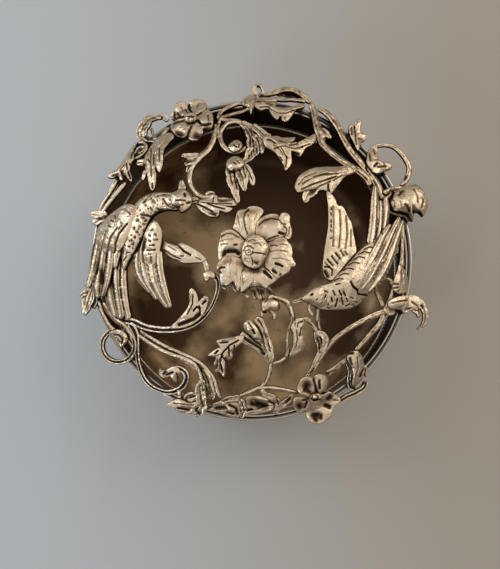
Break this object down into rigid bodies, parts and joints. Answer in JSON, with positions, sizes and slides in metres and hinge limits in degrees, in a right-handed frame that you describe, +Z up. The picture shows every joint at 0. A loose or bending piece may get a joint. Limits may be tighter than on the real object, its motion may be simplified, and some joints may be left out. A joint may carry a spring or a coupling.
{
  "type": "potpourri box",
  "caption": "Small round silver potpourri box: plain spun cup with a lift-off lid, its domed top an openwork of cast birds, flowers, leaves and scrolls.",
  "frame": {"origin": "centre of the flat underside, on the table", "axes": "+Z up along the cup's axis, +Y towards the rim flower beside the left bird's head, +X towards the right bird"},
  "size_m": [0.0856, 0.0837, 0.0426],
  "materials": {
    "cast_silver": "cast silver with dark patina in the recesses and worn bright edges",
    "polished_silver": "polished silver, lightly scratched",
    "aged_silver": "spun silver toned brown inside, with concentric streaks and small dark specks"
  },
  "bodies": {
    "box": {"spun_cup": "aged_silver", "mouth_wire": "polished_silver", "foot_wire": "polished_silver"},
    "lid": {"acanthus_leaf": "cast_silver", "back_leaf": "cast_silver", "back_loop": "cast_silver", "back_scroll": "cast_silver", "beak_leaves": "cast_silver", "beak_side_leaf": "cast_silver", "bell_flower": "cast_silver", "curled_leaf_loop": "cast_silver", "curved_stem": "cast_silver", "double_stem": "cast_silver", "flower_calyx": "cast_silver", "flower_heart": "cast_silver", "flower_petal_back": "cast_silver", "flower_petal_back_right": "cast_silver", "flower_petal_front": "cast_silver", "flower_petal_front_left": "cast_silver", "flower_petal_left": "cast_silver", "flower_petal_right": "cast_silver", "front_leaves": "cast_silver", "front_scroll": "cast_silver", "hanging_leaf": "cast_silver", "inner_scroll": "cast_silver", "inner_stem": "cast_silver", "leafy_stalk": "cast_silver", "left_bird_body": "cast_silver", "left_bird_left_wing": "cast_silver", "left_bird_right_wing": "cast_silver", "left_bird_tail": "cast_silver", "left_rim_leaf": "cast_silver", "left_rim_stem": "cast_silver", "left_ring_scroll": "cast_silver", "lid_collar": "polished_silver", "lid_edge_wire": "polished_silver", "long_leaves": "cast_silver", "loop_leaf": "cast_silver", "lower_flower": "cast_silver", "lower_flower_boss": "cast_silver", "lower_right_leaf": "cast_silver", "outer_stem": "cast_silver", "pear_ring": "cast_silver", "right_bird_body": "cast_silver", "right_bird_left_wing": "cast_silver", "right_bird_right_wing": "cast_silver", "right_curl": "cast_silver", "right_edge_curl": "cast_silver", "right_edge_leaf": "cast_silver", "right_rim_stem": "cast_silver", "ring_scroll": "cast_silver", "rising_stem": "cast_silver", "sepal_bud": "cast_silver", "small_bud": "cast_silver", "small_rim_leaf": "cast_silver", "three_finger_bud": "cast_silver", "top_flower": "cast_silver", "top_flower_boss": "cast_silver", "trumpet_flower": "cast_silver", "two_finger_leaf": "cast_silver"}
  },
  "joints": [
    {"name": "lid_lift", "type": "slide", "parent": "box", "child": "lid", "axis": [0, 0, 1], "range_m": [0, 0.06]}
  ]
}
